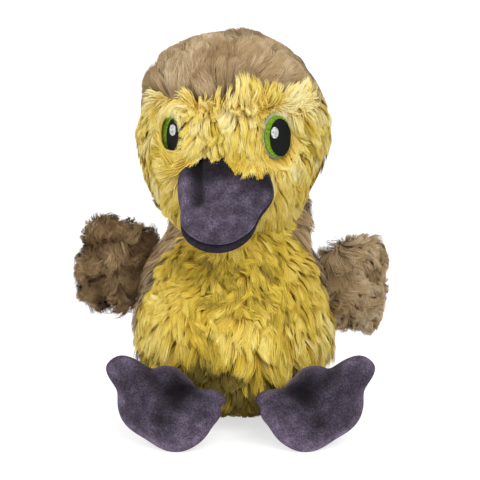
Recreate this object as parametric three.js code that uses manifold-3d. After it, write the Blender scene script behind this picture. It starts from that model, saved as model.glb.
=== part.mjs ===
// A plush gosling dog toy: a stuffed animal that sits on its own flat base.
// Millimetres, +Z up, the front faces -Y. The origin is on the floor, in the middle of the seat.
// Each fur or velboa cover is an open half shell: its thickness is the backing with its lying pile.
import * as THREE from "three";
import { mergeVertices } from "three/addons/utils/BufferGeometryUtils.js";
import Module from "manifold-3d";

const wasm = await Module();
wasm.setup();

// Fits
const seamGap = 0.3; // between two covers at a seam, and between a cover and what fills it
const floorCut = 0.5; // how deep a soft form is pressed flat where it stands on the floor

// Cloth
const furDepth = 8; // long pile lying down, with its backing
const wingFurDepth = 4.5; // the shorter curly pile of the wings
const velboaDepth = 1.6;

// Body, a pear that swells low down
const bodyHalfWidth = 55;
const bodyFront = 58;
const bodyBack = 50;
const bodyWidestHeight = 36;
const bodyRise = 80; // from the widest height to the top of the pear
const bodyPlan = 2.2; // 2 is an ellipse seen from above, more is squarer
const bodyShoulders = 2.2; // the same, of its outline above the widest height
const bodySeat = 2.8; // and of its outline below

// Side seam of the body from the floor up to the neck: how far it lies behind the middle
const seatSeamBehind = 17;
const hipSeamBehind = 5;
const chestSeamBehind = -10;
const neckSeamBehind = -22;
const hipHeight = 32;
const chestHeight = 68;

// Neck, a ball that the head turns and nods on, with a plug of filling in its throat
const neckRise = 72; // of the neck's centre above the body's widest height
const neckBehind = 2;
const neckAside = 4; // to the viewer's right of the middle, as the toy is posed
const neckRadius = 37.5;
const neckGap = 0.8; // between the neck and the socket under the head
const throatRadius = 22;
const throatFloor = 10; // of the plug's underside above the neck's centre

// Head, rounder above than at the cheeks
const headRise = 54; // of the head's middle above the neck's centre
const headAhead = 4;
const headHalfWidth = 51.5;
const headFront = 48;
const headBack = 47;
const headTop = 51;
const headBottom = 56;
const headRoundness = 2.2; // 2 is an ellipsoid, more is squarer
const headTurned = 7; // degrees to the viewer's left, as the toy is posed

// Seam of the face about the head's middle: the brow runs level, then turns down behind the cheeks
const browHeight = 19;
const browAhead = 24;
const templeHeight = 14;
const templeAhead = 8;
const cheekSeamBehind = 6;
const eyeSeamBehind = 5; // of the seam, behind the head's middle at eye height
const jawSeamBehind = 2;
const jawDrop = 25;
const faceSkew = 5; // degrees that the face is sewn on askew, further back on the viewer's right

// Bill, a soft spade that hangs forwards and down
const billReach = 31; // from its middle to the tip
const billRoot = 34; // from its middle back into the head
const billHalfWidth = 22.5;
const billTaper = 0.29;
const billSquareness = 2.2;
const billUpperDepth = 12;
const billLowerDepth = 9;
const billPitch = 44;
const billAhead = 53; // of its middle, from the head's middle
const billBelow = 30;

// Eyes, embroidered in layers on a patch
const eyeAround = 37; // degrees from the front
const eyeAbove = 1;
const backingDepth = 1; // of the face's backing that the patch is sewn to
const eyeHalfWidth = 8.4;
const eyeHalfHeight = 12;
const eyeLean = 6; // degrees that its top leans inwards
const patchDepth = 1.4;
const stitchDepth = 0.8;
const irisHalfWidth = 7.7;
const irisHalfHeight = 11.2;
const pupilHalfWidth = 6.2;
const pupilHalfHeight = 10;
const pupilBelow = 0.5;
const glintHalfWidth = 2.1;
const glintHalfHeight = 3;
const glintAbove = 3;
// To the side of each eye's middle: the gaze and the highlight turn to the viewer's left
const leftPupilAside = 1.7;
const rightPupilAside = 1.2;
const leftGlintAside = 1.7;
const rightGlintAside = -2.6;
const stitchSlope = 0.12; // how far the edge of a stitched layer leans in, as part of its width

// Wings, padded squares with rounded corners
const wingReach = 21; // from its middle to the outer edge
const wingRoot = 19; // from its middle to the root edge
const wingHalfHeight = 27;
const wingHalfDepth = 9.5; // from the wing's middle plane to its front, and to its back
const wingSquareness = 3.6;
const wingTaper = -0.1; // wider at the tip than at the root
const wingBehind = 8;
const wingGap = 0.3; // between the root edge and the body
const wingHinge = 6; // from the root edge to the line that the wing flaps about

// Feet, webbed, with three toes
const soleRadius = 15; // of the web round the middle of the sole
const soleMiddle = 21; // radius that the toes die away towards
const soleDepth = 12; // from the foot's middle plane to its sole
const footBackDepth = 19.5; // from the same plane to its back, which leans on the tummy
const footAhead = 8; // of the foot's middle, from the front of the tummy
const footLean = 15; // degrees that the toes lean back
const footYaw = 10; // degrees that the sole turns outwards
// Lobes of the outline, in degrees round the sole: the toes, then the heel and its two sides
const lobes = [
  { angle: 147, length: 13, spread: 18 },
  { angle: 91, length: 3.3, spread: 24 },
  { angle: 9, length: 5.5, spread: 10 },
  { angle: 0, length: 5.8, spread: 21 },
  { angle: -54, length: 13, spread: 62 },
  { angle: -177, length: 12, spread: 58 },
];
const lobeSquareness = 3;

// How each side is posed: the wings at their own height, lifted or swept back by some degrees,
// and the feet a little off centre
const leftWingHeight = 76;
const rightWingHeight = 68.5;
const leftFootAside = 35;
const rightFootAside = 42.5;
const sides = [
  {
    side: "left",
    sign: -1,
    wingHeight: leftWingHeight,
    wingLift: 10,
    wingSweep: 0,
    footAside: leftFootAside,
  },
  {
    side: "right",
    sign: 1,
    wingHeight: rightWingHeight,
    wingLift: -9,
    wingSweep: 26,
    footAside: rightFootAside,
  },
];

// Squeaker in a pocket of the body's filling
const squeakerRadius = 19;
const squeakerLength = 24;
const squeakerWall = 1.2;
const squeakerShoulder = 4;
const squeakerHeight = 45;
const squeakerBehind = 20; // of its middle, from the middle of the body
const pocketGap = 0.4;
const reedRadius = 5;
const reedBore = 2;
const reedLength = 8;
const reedFlangeRadius = 7;
const reedFlangeDepth = 1.6;

const FAR = 400; // past every side of the toy
const SEAM_END = 100; // past the ends of a form that a seam crosses
const deg = THREE.MathUtils.degToRad;

// The solid of a geometry, with its shared vertices merged.
function solidOf(geometry) {
  const bare = geometry.clone();
  bare.deleteAttribute("normal");
  bare.deleteAttribute("uv");
  const merged = mergeVertices(bare, 1e-4);
  return new wasm.Manifold(
    new wasm.Mesh({
      numProp: 3,
      vertProperties: new Float32Array(merged.attributes.position.array),
      triVerts: new Uint32Array(merged.index.array),
    }),
  );
}

function geometryOf(solid) {
  const mesh = solid.getMesh();
  const geometry = new THREE.BufferGeometry();
  geometry.setAttribute("position", new THREE.BufferAttribute(mesh.vertProperties, 3));
  geometry.setIndex(new THREE.BufferAttribute(mesh.triVerts, 1));
  geometry.computeVertexNormals();
  return geometry;
}

// A unit ball with its poles on Z, each vertex moved to shape(x, y, z).
function reshapedBall(around, rows, shape) {
  const ball = new THREE.SphereGeometry(1, around, rows).rotateX(Math.PI / 2);
  const place = ball.attributes.position;
  for (let i = 0; i < place.count; i += 1) {
    const moved = shape(place.getX(i), place.getY(i), place.getZ(i));
    place.setXYZ(i, moved.x, moved.y, moved.z);
  }
  return solidOf(ball);
}

// How far out a swelling form lies in the direction (x, y, z), when every reach of it is 1.
function stretchOf(form, x, y, z) {
  const plan = (Math.abs(x) ** form.plan + Math.abs(y) ** form.plan) ** (1 / form.plan);
  const power = z > 0 ? form.upper : form.lower;
  return (plan ** power + Math.abs(z) ** power) ** (-1 / power);
}

// A swelling form with its own reach to the sides, front, back, top and bottom.
function swollen(form, inset, around, rows) {
  return reshapedBall(around, rows, (x, y, z) => {
    const stretch = stretchOf(form, x, y, z);
    return new THREE.Vector3(
      x * stretch * (form.side - inset),
      y * stretch * ((y < 0 ? form.front : form.back) - inset),
      z * stretch * ((z > 0 ? form.top : form.bottom) - inset),
    );
  });
}

// A stuffed pad in the XY plane: its outline is a function of the angle, and its middle is fullest.
// With a middle radius, the lobes of the outline die away towards a round middle.
function padded(outline, fullAbove, fullBelow, middle, inset, around, rows) {
  const edgeRoundness = 0.75;
  return reshapedBall(around, rows, (x, y, z) => {
    const flat = Math.hypot(x, y);
    const rim = outline(Math.atan2(y, x));
    const reach = rim.length() - inset;
    const core = middle ? middle - inset : reach;
    const far = flat ** edgeRoundness * (core + (reach - core) * flat ** 2);
    const full = (z > 0 ? fullAbove : fullBelow) - inset;
    return new THREE.Vector3(rim.x, rim.y, 0).setLength(far).setZ(z * full);
  });
}

// A rounded outline that is longer ahead or behind, and narrower or wider towards +X.
function taperedOutline(ahead, behind, halfWidth, power, taper) {
  return (angle) => {
    const x = Math.cos(angle);
    const y = Math.sin(angle);
    const stretch = (Math.abs(x) ** power + Math.abs(y) ** power) ** (-1 / power);
    return new THREE.Vector2(
      x * stretch * (x > 0 ? ahead : behind),
      y * stretch * halfWidth * (1 - taper * x * stretch),
    );
  };
}

// The sole's outline: a round web with its lobes.
function footOutline(angle) {
  let reach = soleRadius;
  for (const lobe of lobes) {
    const turn = THREE.MathUtils.euclideanModulo(angle - deg(lobe.angle) + Math.PI, 2 * Math.PI);
    const aside = Math.abs(turn - Math.PI) / deg(lobe.spread);
    reach += lobe.length * Math.exp(-(aside ** lobeSquareness));
  }
  return new THREE.Vector2(Math.cos(angle) * reach, Math.sin(angle) * reach);
}

// How far the outline reaches below its middle.
function drop(outline) {
  const angles = Array.from({ length: 72 }, (_, i) => (i / 72) * 2 * Math.PI);
  return Math.max(...angles.map((angle) => -outline(angle).y));
}

// The same outline with its left and right changed over.
function mirrored(outline) {
  return (angle) => {
    const rim = outline(Math.PI - angle);
    return new THREE.Vector2(-rim.x, rim.y);
  };
}

function ball(radius, centre, around, rows) {
  const round = new THREE.SphereGeometry(radius, around, rows).rotateX(Math.PI / 2);
  return solidOf(round.translate(centre.x, centre.y, centre.z));
}

// Everything in front of a seam that runs along X. Its points (y, z) come bottom first,
// and gap pushes the seam back and up.
function aheadOfSeam(points, gap) {
  const curve = new THREE.SplineCurve(points.map(([y, z]) => new THREE.Vector2(y + gap, z + gap)));
  const seam = curve.getPoints(9);
  const shape = new THREE.Shape([
    new THREE.Vector2(-FAR, seam[0].y),
    ...seam,
    new THREE.Vector2(-FAR, seam[seam.length - 1].y),
  ]);
  const block = new THREE.ExtrudeGeometry(shape, { depth: 2 * FAR, bevelEnabled: false });
  const alongX = new THREE.Matrix4().makeBasis(
    new THREE.Vector3(0, 1, 0),
    new THREE.Vector3(0, 0, 1),
    new THREE.Vector3(1, 0, 0),
  );
  return solidOf(block.translate(0, 0, -FAR).applyMatrix4(alongX));
}

function belowLevel(level) {
  return solidOf(new THREE.BoxGeometry(FAR, FAR, FAR).translate(0, 0, level - FAR / 2));
}

function aboveLevel(level) {
  return solidOf(new THREE.BoxGeometry(FAR, FAR, FAR).translate(0, 0, level + FAR / 2));
}

// A solid placed by the matrix that carries it from one group's frame to another's.
function placed(solid, matrix) {
  return solid.transform(matrix.elements);
}

function cloth(colour) {
  return new THREE.MeshStandardMaterial({ color: colour, roughness: 0.9, metalness: 0 });
}

const yellowFur = () => cloth("#d8bd5f");
const brownFur = () => cloth("#9c8468");
const velboa = () => cloth("#5d5463");
const fibre = () => cloth("#f2f0ea");

function piece(name, solid, material) {
  const mesh = new THREE.Mesh(geometryOf(solid), material);
  mesh.name = name;
  return mesh;
}

const gosling = new THREE.Group();
const neckHeight = bodyWidestHeight + neckRise;
const neckCentre = new THREE.Vector3(neckAside, neckBehind, neckHeight);
const pear = {
  side: bodyHalfWidth,
  front: bodyFront,
  back: bodyBack,
  top: bodyRise,
  bottom: bodyWidestHeight + floorCut,
  plan: bodyPlan,
  upper: bodyShoulders,
  lower: bodySeat,
};

// The body's pear with the ball of the neck, at some depth under its surface.
function bodyForm(inset, around, rows, neckAround, neckRows) {
  return swollen(pear, inset, around, rows)
    .translate([0, 0, bodyWidestHeight])
    .add(ball(neckRadius - inset, neckCentre, neckAround, neckRows));
}

function addBody() {
  const throat = new THREE.CylinderGeometry(throatRadius, throatRadius, neckRadius, 24)
    .rotateX(Math.PI / 2)
    .translate(neckAside, neckBehind, neckHeight + throatFloor + neckRadius / 2);
  const seam = [
    [seatSeamBehind, -SEAM_END],
    [seatSeamBehind, 0],
    [hipSeamBehind, hipHeight],
    [chestSeamBehind, chestHeight],
    [neckSeamBehind, neckHeight],
    [neckSeamBehind, FAR],
  ];
  const outside = bodyForm(0, 26, 15, 32, 18).subtract(belowLevel(0));
  const inside = bodyForm(furDepth, 16, 10, 16, 10).subtract(belowLevel(furDepth));
  const cover = outside.subtract(inside).subtract(solidOf(throat));
  gosling.add(piece("tummy_panel", cover.intersect(aheadOfSeam(seam, 0)), yellowFur()));
  gosling.add(piece("back_panel", cover.subtract(aheadOfSeam(seam, seamGap)), brownFur()));

  const pocketRadius = squeakerRadius + pocketGap;
  const pocketFloor = squeakerBehind - squeakerLength / 2 - pocketGap;
  const pocket = new THREE.CylinderGeometry(pocketRadius, pocketRadius, bodyBack, 24)
    .translate(0, pocketFloor + bodyBack / 2, squeakerHeight);
  const filling = bodyForm(furDepth + seamGap, 16, 10, 16, 10)
    .subtract(belowLevel(furDepth + seamGap))
    .subtract(solidOf(throat))
    .subtract(solidOf(pocket));
  gosling.add(piece("body_filling", filling, fibre()));
}

// The plug of filling that fills the neck's throat, domed where the head rides on it.
function addNeck() {
  const plugRadius = throatRadius - seamGap;
  const plug = new THREE.CylinderGeometry(plugRadius, plugRadius, neckRadius, 24)
    .rotateX(Math.PI / 2)
    .translate(neckAside, neckBehind, neckHeight + throatFloor + seamGap + neckRadius / 2);
  const filling = solidOf(plug).intersect(ball(neckRadius, neckCentre, 32, 18));
  gosling.add(piece("neck_filling", filling, fibre()));
}

// A hollow blown bulb with its mouth to the back, and the reed pressed into the mouth.
function addSqueaker() {
  const half = squeakerLength / 2;
  const pot = (inset) => {
    const shoulder = squeakerRadius - squeakerShoulder;
    return solidOf(
      new THREE.LatheGeometry(
        [
          new THREE.Vector2(0, -half + inset),
          new THREE.Vector2(shoulder - inset / 2, -half + inset),
          new THREE.Vector2(squeakerRadius - inset, -half + squeakerShoulder),
          new THREE.Vector2(squeakerRadius - inset, half - squeakerShoulder),
          new THREE.Vector2(shoulder - inset / 2, half - inset),
          new THREE.Vector2(0, half - inset),
        ],
        24,
      ),
    );
  };
  const mouthRadius = reedRadius + seamGap;
  const mouth = new THREE.CylinderGeometry(mouthRadius, mouthRadius, squeakerLength, 16);
  const bulb = pot(0).subtract(pot(squeakerWall)).subtract(solidOf(mouth.translate(0, half, 0)));
  const reed = solidOf(
    new THREE.LatheGeometry(
      [
        new THREE.Vector2(reedBore, -reedLength),
        new THREE.Vector2(reedRadius, -reedLength),
        new THREE.Vector2(reedRadius, 0),
        new THREE.Vector2(reedFlangeRadius, 0),
        new THREE.Vector2(reedFlangeRadius, reedFlangeDepth),
        new THREE.Vector2(reedBore, reedFlangeDepth),
        new THREE.Vector2(reedBore, -reedLength),
      ],
      16,
    ),
  );
  const squeaker = new THREE.Group();
  squeaker.position.set(0, squeakerBehind, squeakerHeight);
  squeaker.add(piece("squeaker_bulb", bulb, cloth("#e9e6da")));
  const reedPiece = piece("squeaker_reed", reed, cloth("#fafafa"));
  reedPiece.position.y = half + seamGap;
  squeaker.add(reedPiece);
  gosling.add(squeaker);
}

const head = new THREE.Group();
head.position.set(0, -headAhead, neckHeight + headRise);
head.rotation.z = -deg(headTurned);
head.updateMatrix();
gosling.add(head);
const toHead = head.matrix.clone().invert();

const headForm = {
  side: headHalfWidth,
  front: headFront,
  back: headBack,
  top: headTop,
  bottom: headBottom,
  plan: headRoundness,
  upper: headRoundness,
  lower: headRoundness,
};
const socket = placed(bodyForm(-neckGap, 26, 15, 32, 18), toHead);

// An oval layer of stitching whose back lies on the plane y = -seat and whose edge leans in.
function ovalLayer(halfWidth, halfHeight, depth, seat, slope) {
  const oval = new THREE.CylinderGeometry(1, 1 - slope, depth, 24).scale(halfWidth, 1, halfHeight);
  return solidOf(oval.translate(0, -seat - depth / 2, 0));
}

// The seat of an eye's patch: on the backing, which lies on the filling, at the eye's middle.
const eyeDirection = [Math.sin(deg(eyeAround)), -Math.cos(deg(eyeAround)), 0];
const eyeStretch = stretchOf(headForm, ...eyeDirection);
const eyeSeat = backingDepth + eyeStretch * Math.hypot(
  eyeDirection[0] * (headHalfWidth - furDepth),
  eyeDirection[1] * (headFront - furDepth),
);

const eyeSides = [
  { side: "left", sign: -1, pupilAside: leftPupilAside, glintAside: leftGlintAside },
  { side: "right", sign: 1, pupilAside: rightPupilAside, glintAside: rightGlintAside },
];

function eyeGroup(sign) {
  const eye = new THREE.Group();
  eye.rotation.set(0, sign * deg(-eyeLean), sign * deg(eyeAround), "ZYX");
  eye.position.z = eyeAbove;
  eye.updateMatrix();
  return eye;
}

function addHead() {
  const seam = [
    [jawSeamBehind, -SEAM_END],
    [jawSeamBehind, -headBottom],
    [cheekSeamBehind, -jawDrop],
    [eyeSeamBehind, 0],
    [-templeAhead, templeHeight],
    [-browAhead, browHeight],
    [-SEAM_END, browHeight],
  ];
  const shell = swollen(headForm, 0, 26, 16)
    .subtract(swollen(headForm, furDepth, 16, 10))
    .subtract(socket);
  const askew = new THREE.Matrix4().makeRotationZ(deg(faceSkew));
  let face = shell.intersect(placed(aheadOfSeam(seam, 0), askew));
  for (const { sign } of eyeSides) {
    const hollow = ovalLayer(
      eyeHalfWidth + seamGap,
      eyeHalfHeight + seamGap,
      headFront,
      eyeSeat - seamGap,
      0,
    );
    face = face.subtract(placed(hollow, eyeGroup(sign).matrix));
  }
  head.add(piece("face_panel", face, yellowFur()));
  const crown = shell.subtract(placed(aheadOfSeam(seam, seamGap), askew));
  head.add(piece("crown_panel", crown, brownFur()));
  const filling = swollen(headForm, furDepth + seamGap, 16, 10).subtract(socket);
  head.add(piece("head_filling", filling, fibre()));
}

// Two panels sewn round the edge, cut where they meet the face, and what fills them.
function addBill() {
  const outline = taperedOutline(billReach, billRoot, billHalfWidth, billSquareness, billTaper);
  const pad = (inset, around, rows) =>
    padded(outline, billUpperDepth, billLowerDepth, 0, inset, around, rows);
  const ahead = new THREE.Vector3(0, -Math.cos(deg(billPitch)), -Math.sin(deg(billPitch)));
  const across = new THREE.Vector3(1, 0, 0);
  const up = new THREE.Vector3().crossVectors(ahead, across);
  const matrix = new THREE.Matrix4().makeBasis(ahead, across, up);
  matrix.setPosition(0, -billAhead, -billBelow);
  const face = swollen(headForm, -seamGap, 26, 16);
  const cover = pad(0, 22, 12).subtract(pad(velboaDepth, 16, 8));
  const cut = (solid) => placed(solid, matrix).subtract(face).subtract(socket);
  head.add(piece("bill_upper", cut(cover.subtract(belowLevel(seamGap / 2))), velboa()));
  head.add(piece("bill_lower", cut(cover.subtract(aboveLevel(-seamGap / 2))), velboa()));
  head.add(piece("bill_filling", cut(pad(velboaDepth + seamGap, 16, 8)), fibre()));
}

function addEye({ side, sign, pupilAside, glintAside }) {
  const eye = eyeGroup(sign);
  const layer = (name, solid, colour, aside, above) => {
    const layerPiece = piece(`eye_${side}_${name}`, solid, cloth(colour));
    layerPiece.position.set(aside, 0, above);
    eye.add(layerPiece);
  };
  const patch = ovalLayer(eyeHalfWidth, eyeHalfHeight, patchDepth, eyeSeat, stitchSlope);
  layer("patch", patch, "#b9c2a4", 0, 0);
  const irisSeat = eyeSeat + patchDepth + seamGap;
  const iris = ovalLayer(irisHalfWidth, irisHalfHeight, stitchDepth, irisSeat, stitchSlope);
  layer("iris", iris, "#8fbf2a", 0, 0);
  const pupilSeat = irisSeat + stitchDepth + seamGap;
  const pupil = ovalLayer(pupilHalfWidth, pupilHalfHeight, stitchDepth, pupilSeat, stitchSlope);
  layer("pupil", pupil, "#101012", pupilAside, -pupilBelow);
  const glintSeat = pupilSeat + stitchDepth + seamGap;
  const glint = ovalLayer(glintHalfWidth, glintHalfHeight, stitchDepth, glintSeat, stitchSlope);
  layer("glint", glint, "#f4f5f2", glintAside, glintAbove);
  head.add(eye);
}

// How far the pear reaches to the side at a height above the floor, at the line of the wings.
function bodyReachAt(height) {
  const rise = height - bodyWidestHeight;
  const part = Math.abs(rise) / (rise > 0 ? pear.top : pear.bottom);
  const power = rise > 0 ? pear.upper : pear.lower;
  const level = (1 - part ** power) ** (1 / power);
  const behind = wingBehind / bodyBack;
  return bodyHalfWidth * (level ** bodyPlan - behind ** bodyPlan) ** (1 / bodyPlan);
}

// The covers' front and back halves and their filling, in the pad's own frame.
function padPieces(outline, frontDepth, backDepth, middle, coverDepth, around, rows) {
  const pad = (inset, round, rings) =>
    padded(outline, frontDepth, backDepth, middle, inset, round, rings);
  const innerAround = around - 6;
  const innerRows = rows - 2;
  const cover = pad(0, around, rows).subtract(pad(coverDepth, innerAround, innerRows));
  return {
    front: cover.subtract(belowLevel(seamGap / 2)),
    back: cover.subtract(aboveLevel(-seamGap / 2)),
    filling: pad(coverDepth + seamGap, innerAround, innerRows),
  };
}

// A wing flaps about a line that runs up the side of the body, parallel to its surface there.
// Inside that line the root is rounded about it, so it turns without reaching the body.
function addWing({ side, sign, wingHeight, wingLift, wingSweep }) {
  const step = 1;
  const slope = bodyReachAt(wingHeight - step) - bodyReachAt(wingHeight + step);
  const lean = Math.atan2(slope, 2 * step);
  const standoff = wingGap + wingHinge;
  const hinge = new THREE.Group();
  hinge.name = `wing_${side}_hinge`;
  hinge.position.set(
    sign * (bodyReachAt(wingHeight) + standoff * Math.cos(lean)),
    wingBehind,
    wingHeight + standoff * Math.sin(lean),
  );
  hinge.rotation.set(0, -sign * lean, sign * deg(wingSweep), "YXZ");
  const turn = deg(wingLift) - lean;
  const out = wingRoot - wingHinge;
  const wing = new THREE.Group();
  wing.position.set(sign * out * Math.cos(turn), 0, out * Math.sin(turn));
  wing.rotation.set(Math.PI / 2, -sign * turn, 0, "YXZ");
  hinge.add(wing);
  gosling.add(hinge);
  hinge.updateMatrixWorld(true);

  const right = taperedOutline(wingReach, wingRoot, wingHalfHeight, wingSquareness, wingTaper);
  const outline = sign > 0 ? right : mirrored(right);
  const parts = padPieces(outline, wingHalfDepth, wingHalfDepth, 0, wingFurDepth, 24, 10);
  const fromHinge = wing.matrix.clone().invert();
  const rootRound = new THREE.CylinderGeometry(wingHinge, wingHinge, FAR, 20).rotateX(Math.PI / 2);
  const outside = new THREE.BoxGeometry(FAR, FAR, FAR).translate((sign * FAR) / 2, 0, 0);
  const kept = placed(solidOf(rootRound).add(solidOf(outside)), fromHinge);
  const body = placed(bodyForm(-wingGap, 26, 15, 32, 18), wing.matrixWorld.clone().invert());
  const cut = (solid) => solid.intersect(kept).subtract(body);
  wing.add(piece(`wing_${side}_front`, cut(parts.front), brownFur()));
  wing.add(piece(`wing_${side}_back`, cut(parts.back), brownFur()));
  wing.add(piece(`wing_${side}_filling`, cut(parts.filling), fibre()));
}

function addFoot({ side, sign, footAside }) {
  const outline = sign < 0 ? footOutline : mirrored(footOutline);
  const parts = padPieces(outline, soleDepth, footBackDepth, soleMiddle, velboaDepth, 44, 12);
  const rise = drop(footOutline) * Math.cos(deg(footLean));
  const foot = new THREE.Group();
  foot.position.set(sign * footAside, -bodyFront - footAhead, rise - floorCut);
  foot.rotation.set(Math.PI / 2 - deg(footLean), 0, sign * deg(footYaw), "ZYX");
  gosling.add(foot);
  foot.updateMatrixWorld(true);
  const toFoot = foot.matrixWorld.clone().invert();
  const body = placed(bodyForm(-seamGap, 26, 15, 32, 18), toFoot);
  const floor = placed(belowLevel(0), toFoot);
  const cut = (solid) => solid.subtract(body).subtract(floor);
  foot.add(piece(`foot_${side}_sole`, cut(parts.front), velboa()));
  foot.add(piece(`foot_${side}_top`, cut(parts.back), velboa()));
  foot.add(piece(`foot_${side}_filling`, cut(parts.filling), fibre()));
}

addBody();
addNeck();
addSqueaker();
addHead();
addBill();
eyeSides.forEach(addEye);
sides.forEach(addWing);
sides.forEach(addFoot);

export default gosling;
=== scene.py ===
import math

import bmesh
import bpy
import numpy as np
from mathutils import Matrix, Vector
from mathutils.kdtree import KDTree


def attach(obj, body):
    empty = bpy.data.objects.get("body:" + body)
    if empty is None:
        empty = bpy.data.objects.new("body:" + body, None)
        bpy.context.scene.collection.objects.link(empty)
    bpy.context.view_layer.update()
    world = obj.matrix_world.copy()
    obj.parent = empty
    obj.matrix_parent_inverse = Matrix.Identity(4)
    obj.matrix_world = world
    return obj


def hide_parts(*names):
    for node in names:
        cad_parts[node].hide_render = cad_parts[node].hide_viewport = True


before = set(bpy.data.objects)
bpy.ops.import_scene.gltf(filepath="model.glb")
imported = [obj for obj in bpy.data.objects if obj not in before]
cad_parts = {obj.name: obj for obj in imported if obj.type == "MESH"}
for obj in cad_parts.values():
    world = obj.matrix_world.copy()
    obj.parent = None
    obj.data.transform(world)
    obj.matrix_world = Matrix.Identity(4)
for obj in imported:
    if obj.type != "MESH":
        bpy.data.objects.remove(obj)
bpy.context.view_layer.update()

# Sizes are in millimetres, as in the part's source, and turned to metres when a mesh is written.
MM = 0.001
FUR_DEPTH = 8.0
BACKING_DEPTH = 5.0
EYE_BACKING_DEPTH = 7.0
WING_BACKING_DEPTH = 3.0
VELBOA_DEPTH = 1.6
FLOOR_CUT = 0.5
# Pile is rooted only where the head and the body stand this far clear of each other.
ROOT_CLEARANCE = 1.0
FORM_SUBDIVISIONS, RAY_REACH, SLOPE_STEP = 5, 140.0, 0.4

BODY_WIDEST = 36.0
BODY = dict(side=55.0, front=58.0, back=50.0, top=80.0, bottom=BODY_WIDEST + FLOOR_CUT,
            plan=2.2, upper=2.2, lower=2.8)
BODY_CENTRE = np.array([0.0, 0.0, BODY_WIDEST])
BODY_MIDDLE = np.array([0.0, 0.0, 75.0])
SEAT_HEIGHT, SEAT_PILE_HEIGHT = 1.2, 3.0
NECK_BLEND = 7.0
NECK_CENTRE = np.array([4.0, 2.0, 108.0])
NECK_RADIUS = 37.5
SIDE_SEAM_HEIGHTS = (0.0, 32.0, 68.0, 108.0)
SIDE_SEAM_BEHIND = (17.0, 5.0, -10.0, -22.0)

HEAD = dict(side=51.5, front=48.0, back=47.0, top=51.0, bottom=56.0,
            plan=2.2, upper=2.2, lower=2.2)
HEAD_FRAME = (Matrix.Translation((0.0, -4.0, 162.0))
              @ Matrix.Rotation(math.radians(-7.0), 4, "Z"))
BROW_HEIGHT = 19.0
FACE_SEAM_HEIGHTS = (-100.0, -56.0, -25.0, 0.0, 14.0, 19.0)
FACE_SEAM_BEHIND = (2.0, 2.0, 6.0, 5.0, -8.0, -24.0)
FACE_SKEW = math.radians(5.0)

BILL_PITCH = math.radians(44.0)
BILL_AHEAD = 53.0
BILL_BELOW = 30.0
EYE_AROUND = math.radians(37.0)
EYE_LEAN = math.radians(6.0)
EYE_ABOVE = 1.0
EYE_HALF_WIDTH = 8.4
EYE_HALF_HEIGHT = 12.0

SIDES = (
    dict(side="left", sign=-1, wing_height=76.0, wing_lift=10.0, wing_sweep=0.0, foot_aside=35.0,
         tip_close=1.0),
    dict(side="right", sign=1, wing_height=68.5, wing_lift=-9.0, wing_sweep=26.0, foot_aside=42.5,
         tip_close=4.0),
)


# Colours and materials

def colour(code):
    """The linear colour of an sRGB hex value."""
    parts = [int(code[i:i + 2], 16) / 255 for i in (1, 3, 5)]
    return tuple(c / 12.92 if c <= 0.04045 else ((c + 0.055) / 1.055) ** 2.4 for c in parts) + (1.0,)


def add(tree, kind, links=(), **settings):
    """One node, with its settings and what its sockets take: a value or another socket."""
    made = tree.nodes.new(kind)
    for key, value in settings.items():
        setattr(made, key, value)
    for socket, source in dict(links).items():
        if isinstance(source, bpy.types.NodeSocket):
            tree.links.new(source, made.inputs[socket])
        else:
            made.inputs[socket].default_value = source
    return made


def ramp(tree, factor, stops):
    """A colour ramp over factor, with stops (place, hex)."""
    made = add(tree, "ShaderNodeValToRGB", {"Fac": factor})
    band = made.color_ramp.elements
    while len(band) < len(stops):
        band.new(0.5)
    for element, (place, code) in zip(band, stops):
        element.position = place
        element.color = colour(code)
    return made.outputs["Color"]


def new_material(name, look):
    """A material, its node tree and its surface, whose inputs are as look says."""
    material = bpy.data.materials.new(name)
    material.use_nodes = True
    tree = material.node_tree
    tree.nodes.clear()
    surface = add(tree, "ShaderNodeBsdfPrincipled", look)
    add(tree, "ShaderNodeOutputMaterial", {"Surface": surface.outputs["BSDF"]})
    return material, tree, surface


def pile_material(name, roots, tips):
    """Polyester pile: a strand is dark and dense at its root, partly its own tone and partly painted
    shade where the locks part, and pale at its tip, partly its own tone and partly a painted
    highlight where the light catches it. Its map gives how pale the lock is, along u, and how far
    along the strand a point is, along v."""
    material, tree, surface = new_material(name, {
        "Roughness": 0.7, "Specular IOR Level": 0.12, "Sheen Weight": 0.05,
        "Sheen Roughness": 0.5})
    place = add(tree, "ShaderNodeUVMap", uv_map="OFBake")
    parts = add(tree, "ShaderNodeSeparateXYZ", {"Vector": place.outputs["UV"]})
    along = add(tree, "ShaderNodeMapRange", {"Value": parts.outputs["Y"], "From Min": 0.0,
                "From Max": 0.85}, interpolation_type="SMOOTHSTEP")
    mixed = add(tree, "ShaderNodeMix", {"Factor": along.outputs["Result"]}, data_type="RGBA")
    ends = [socket for socket in mixed.inputs if socket.type == "RGBA"]
    for socket, stops in zip(ends, (roots, tips)):
        tree.links.new(ramp(tree, parts.outputs["X"], stops), socket)
    result = next(socket for socket in mixed.outputs if socket.type == "RGBA")
    tree.links.new(result, surface.inputs["Base Color"])
    return material


def noise(tree, size_mm, detail=2.0, rough=0.5):
    """Noise whose features are about size_mm across, on Object coordinates in metres."""
    place = add(tree, "ShaderNodeTexCoord").outputs["Object"]
    return add(tree, "ShaderNodeTexNoise", {"Vector": place, "Scale": 1 / (size_mm * MM),
               "Detail": detail, "Roughness": rough}).outputs["Fac"]


def bumped(tree, surface, height, depth_mm):
    made = add(tree, "ShaderNodeBump", {"Height": height, "Strength": 0.6,
               "Distance": depth_mm * MM})
    tree.links.new(made.outputs["Normal"], surface.inputs["Normal"])


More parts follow.
